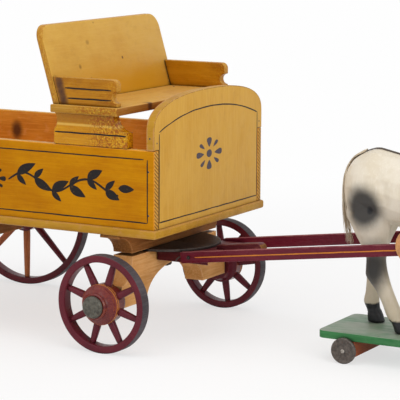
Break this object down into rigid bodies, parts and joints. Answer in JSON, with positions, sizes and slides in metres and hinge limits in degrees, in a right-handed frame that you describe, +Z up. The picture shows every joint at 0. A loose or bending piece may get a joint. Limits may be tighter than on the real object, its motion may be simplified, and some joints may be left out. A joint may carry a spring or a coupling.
{
  "type": "horse-drawn delivery wagon toy",
  "caption": "Old wooden toy delivery wagon with a driver's seat, steering front gear, spoked wheels and shafts, drawn by a moulded horse on a wheeled platform.",
  "frame": {"origin": "on the ground under the middle of the whole toy's bounding box", "axes": "+X forwards along the toy towards the horse, +Y to the wagon's left, +Z up"},
  "size_m": [0.6244, 0.2396, 0.2594],
  "materials": {
    "side_paint": "worn mustard paint and varnish over pine",
    "front_paint": "worn pale yellow paint over pine",
    "bolster_paint": "thin tan paint over pine",
    "wheel_paint": "worn maroon gloss paint on turned wood",
    "rim_paint": "worn maroon paint on bent wood, bare slate-coloured tread",
    "black_iron": "dark aged iron",
    "peg_iron": "dull dark grey-green peg heads",
    "bright_steel": "worn steel nail heads",
    "shaft_paint": "maroon gloss paint with one gold line",
    "platform_paint": "worn green paint",
    "block_stain": "red-brown stained wood",
    "disc_tin": "dark aged tin discs",
    "horse_paint": "cream painted composition with dark patches, lightly rubbed",
    "hair": "pale coarse hair",
    "tan_leather": "light tan leather, matt",
    "dark_leather": "thin dark leather",
    "eye_glass": "small dark glossy bead"
  },
  "bodies": {
    "wagon": {"floor_board": "side_paint", "side_panel_right": "side_paint", "side_panel_left": "side_paint", "front_board": "front_paint", "tail_board": "side_paint", "seat_riser_right": "side_paint", "seat_riser_left": "side_paint", "seat_board": "front_paint", "seat_back": "front_paint", "seat_arm_right": "side_paint", "seat_arm_left": "side_paint", "upper_bolster": "bolster_paint", "kingpin": "black_iron", "kingpin_nut": "black_iron", "rear_bolster": "bolster_paint", "rear_right_wheel_peg": "peg_iron", "rear_left_wheel_peg": "peg_iron"},
    "front_gear": {"fifth_wheel_plate": "black_iron", "lower_bolster": "bolster_paint", "front_right_wheel_peg": "peg_iron", "front_left_wheel_peg": "peg_iron", "draw_board": "bolster_paint", "centre_bar": "shaft_paint", "shaft_hinge_rod": "black_iron"},
    "front_right_wheel": {"front_right_wheel_rim": "rim_paint", "front_right_wheel_hub_and_spokes": "wheel_paint"},
    "front_left_wheel": {"front_left_wheel_rim": "rim_paint", "front_left_wheel_hub_and_spokes": "wheel_paint"},
    "rear_right_wheel": {"rear_right_wheel_rim": "rim_paint", "rear_right_wheel_hub_and_spokes": "wheel_paint"},
    "rear_left_wheel": {"rear_left_wheel_rim": "rim_paint", "rear_left_wheel_hub_and_spokes": "wheel_paint"},
    "shafts": {"shaft_right": "shaft_paint", "shaft_left": "shaft_paint"},
    "horse": {"platform_board": "platform_paint", "platform_axle_block_rear": "block_stain", "platform_axle_block_front": "block_stain", "platform_nail_rear_right": "bright_steel", "platform_nail_rear_left": "bright_steel", "platform_nail_front_right": "bright_steel", "platform_nail_front_left": "bright_steel", "horse_body": "horse_paint", "horse_hind_leg_right": "horse_paint", "horse_hind_leg_left": "horse_paint", "horse_fore_leg_right": "horse_paint", "horse_fore_leg_left": "horse_paint", "horse_tail": "hair", "horse_mane": "hair", "horse_eye_right": "eye_glass", "horse_eye_left": "eye_glass", "saddle_strap": "tan_leather", "girth_strap": "tan_leather", "back_strap": "dark_leather", "tug_loop_right": "tan_leather", "tug_loop_left": "tan_leather"},
    "platform_wheel_rear_right": {"platform_wheel_rear_right": "disc_tin"},
    "platform_wheel_rear_left": {"platform_wheel_rear_left": "disc_tin"},
    "platform_wheel_front_right": {"platform_wheel_front_right": "disc_tin"},
    "platform_wheel_front_left": {"platform_wheel_front_left": "disc_tin"}
  },
  "joints": [
    {"name": "steer", "type": "hinge", "parent": "wagon", "child": "front_gear", "pos_m": [-0.0347, 0, 0.0766], "axis": [0, 0, 1], "range_deg": [-40, 40]},
    {"name": "front_right_wheel_spin", "type": "hinge", "parent": "front_gear", "child": "front_right_wheel", "pos_m": [-0.0347, -0.1002, 0.04], "axis": [0, 1, 0], "continuous": true},
    {"name": "front_left_wheel_spin", "type": "hinge", "parent": "front_gear", "child": "front_left_wheel", "pos_m": [-0.0347, 0.1002, 0.04], "axis": [0, 1, 0], "continuous": true},
    {"name": "rear_right_wheel_spin", "type": "hinge", "parent": "wagon", "child": "rear_right_wheel", "pos_m": [-0.2452, -0.1002, 0.067], "axis": [0, 1, 0], "continuous": true},
    {"name": "rear_left_wheel_spin", "type": "hinge", "parent": "wagon", "child": "rear_left_wheel", "pos_m": [-0.2452, 0.1002, 0.067], "axis": [0, 1, 0], "continuous": true},
    {"name": "shaft_pitch", "type": "hinge", "parent": "front_gear", "child": "shafts", "pos_m": [0.009, 0, 0.0717], "axis": [0, -1, 0], "range_deg": [-4, 10]},
    {"name": "horse_pitch", "type": "hinge", "parent": "shafts", "child": "horse", "pos_m": [0.207, 0, 0.0972], "axis": [0, -1, 0], "range_deg": [-6, 6]},
    {"name": "platform_wheel_rear_right_spin", "type": "hinge", "parent": "horse", "child": "platform_wheel_rear_right", "pos_m": [0.1482, -0.0371, 0.0104], "axis": [0, 1, 0], "continuous": true},
    {"name": "platform_wheel_rear_left_spin", "type": "hinge", "parent": "horse", "child": "platform_wheel_rear_left", "pos_m": [0.1482, 0.0371, 0.0104], "axis": [0, 1, 0], "continuous": true},
    {"name": "platform_wheel_front_right_spin", "type": "hinge", "parent": "horse", "child": "platform_wheel_front_right", "pos_m": [0.2882, -0.0371, 0.0104], "axis": [0, 1, 0], "continuous": true},
    {"name": "platform_wheel_front_left_spin", "type": "hinge", "parent": "horse", "child": "platform_wheel_front_left", "pos_m": [0.2882, 0.0371, 0.0104], "axis": [0, 1, 0], "continuous": true}
  ]
}
